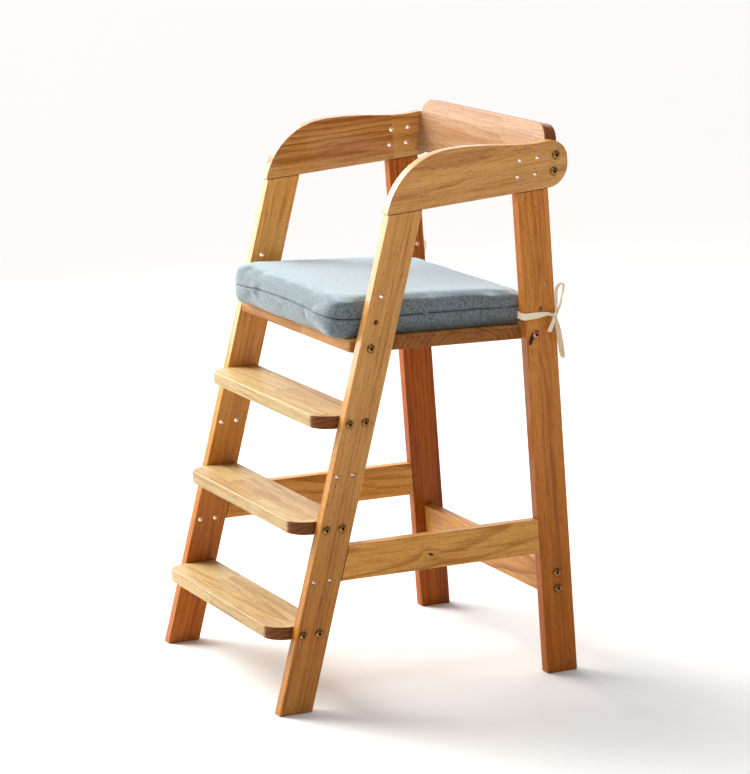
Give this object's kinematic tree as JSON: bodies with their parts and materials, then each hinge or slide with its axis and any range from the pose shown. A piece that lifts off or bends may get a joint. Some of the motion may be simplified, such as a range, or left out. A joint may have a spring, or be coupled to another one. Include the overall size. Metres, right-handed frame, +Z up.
{
  "type": "baby high chair",
  "caption": "Tall wooden step chair for a small child, with leaning side frames, climbing steps, adjustable seat board and backrest, and a tied-on boxed cushion.",
  "frame": {"origin": "on the floor, in the middle of the chair's outline", "axes": "+Z up; -Y is the front, where the steps are; +X is the right side, seen from the front"},
  "size_m": [0.4392, 0.503, 0.8294],
  "materials": {
    "front_leg": "satin clear lacquer over straight-grained honey wood",
    "rear_leg": "satin clear lacquer over straight-grained honey wood",
    "armrest": "satin clear lacquer, staves glued end to end",
    "side_stretcher": "satin clear lacquer over flame-grained honey wood",
    "rear_stretcher": "satin clear lacquer",
    "seat_board": "satin clear lacquer",
    "backrest": "satin clear lacquer, finger-jointed staves",
    "step": "satin clear lacquer, paler finger-jointed staves",
    "bolt": "antique brass plating, darkened in the recesses",
    "barrel_nut": "zinc-plated steel",
    "nut_bar": "zinc-plated steel",
    "cushion_cloth": "blue-grey heather plain weave",
    "tie_tape": "cream cotton twill tape"
  },
  "bodies": {
    "root": {"front_leg_left": "front_leg", "rear_leg_left": "rear_leg", "armrest_left": "armrest", "side_stretcher_left": "side_stretcher", "front_leg_right": "front_leg", "rear_leg_right": "rear_leg", "armrest_right": "armrest", "side_stretcher_right": "side_stretcher", "rear_stretcher": "rear_stretcher", "seat_board": "seat_board", "backrest": "backrest", "step_lower": "step", "step_lower_nut_bar_left": "nut_bar", "step_lower_bolt_left_front": "bolt", "step_lower_bolt_left_rear": "bolt", "step_lower_nut_bar_right": "nut_bar", "step_lower_bolt_right_front": "bolt", "step_lower_bolt_right_rear": "bolt", "step_middle": "step", "step_middle_nut_bar_left": "nut_bar", "step_middle_bolt_left_front": "bolt", "step_middle_bolt_left_rear": "bolt", "step_middle_nut_bar_right": "nut_bar", "step_middle_bolt_right_front": "bolt", "step_middle_bolt_right_rear": "bolt", "step_upper": "step", "step_upper_nut_bar_left": "nut_bar", "step_upper_bolt_left_front": "bolt", "step_upper_bolt_left_rear": "bolt", "step_upper_nut_bar_right": "nut_bar", "step_upper_bolt_right_front": "bolt", "step_upper_bolt_right_rear": "bolt", "seat_bolt_left_front": "bolt", "seat_nut_left_front": "barrel_nut", "seat_bolt_left_rear": "bolt", "seat_nut_left_rear": "barrel_nut", "backrest_bolt_left_lower": "bolt", "backrest_nut_left_lower": "barrel_nut", "stretcher_bolt_left_lower": "bolt", "stretcher_nut_left_lower": "barrel_nut", "backrest_bolt_left_upper": "bolt", "backrest_nut_left_upper": "barrel_nut", "stretcher_bolt_left_upper": "bolt", "stretcher_nut_left_upper": "barrel_nut", "seat_bolt_right_front": "bolt", "seat_nut_right_front": "barrel_nut", "seat_bolt_right_rear": "bolt", "seat_nut_right_rear": "barrel_nut", "backrest_bolt_right_lower": "bolt", "backrest_nut_right_lower": "barrel_nut", "stretcher_bolt_right_lower": "bolt", "stretcher_nut_right_lower": "barrel_nut", "backrest_bolt_right_upper": "bolt", "backrest_nut_right_upper": "barrel_nut", "stretcher_bolt_right_upper": "bolt", "stretcher_nut_right_upper": "barrel_nut", "seat_cushion": "cushion_cloth", "cushion_tie_left": "tie_tape", "cushion_tie_right": "tie_tape"}
  },
  "joints": []
}
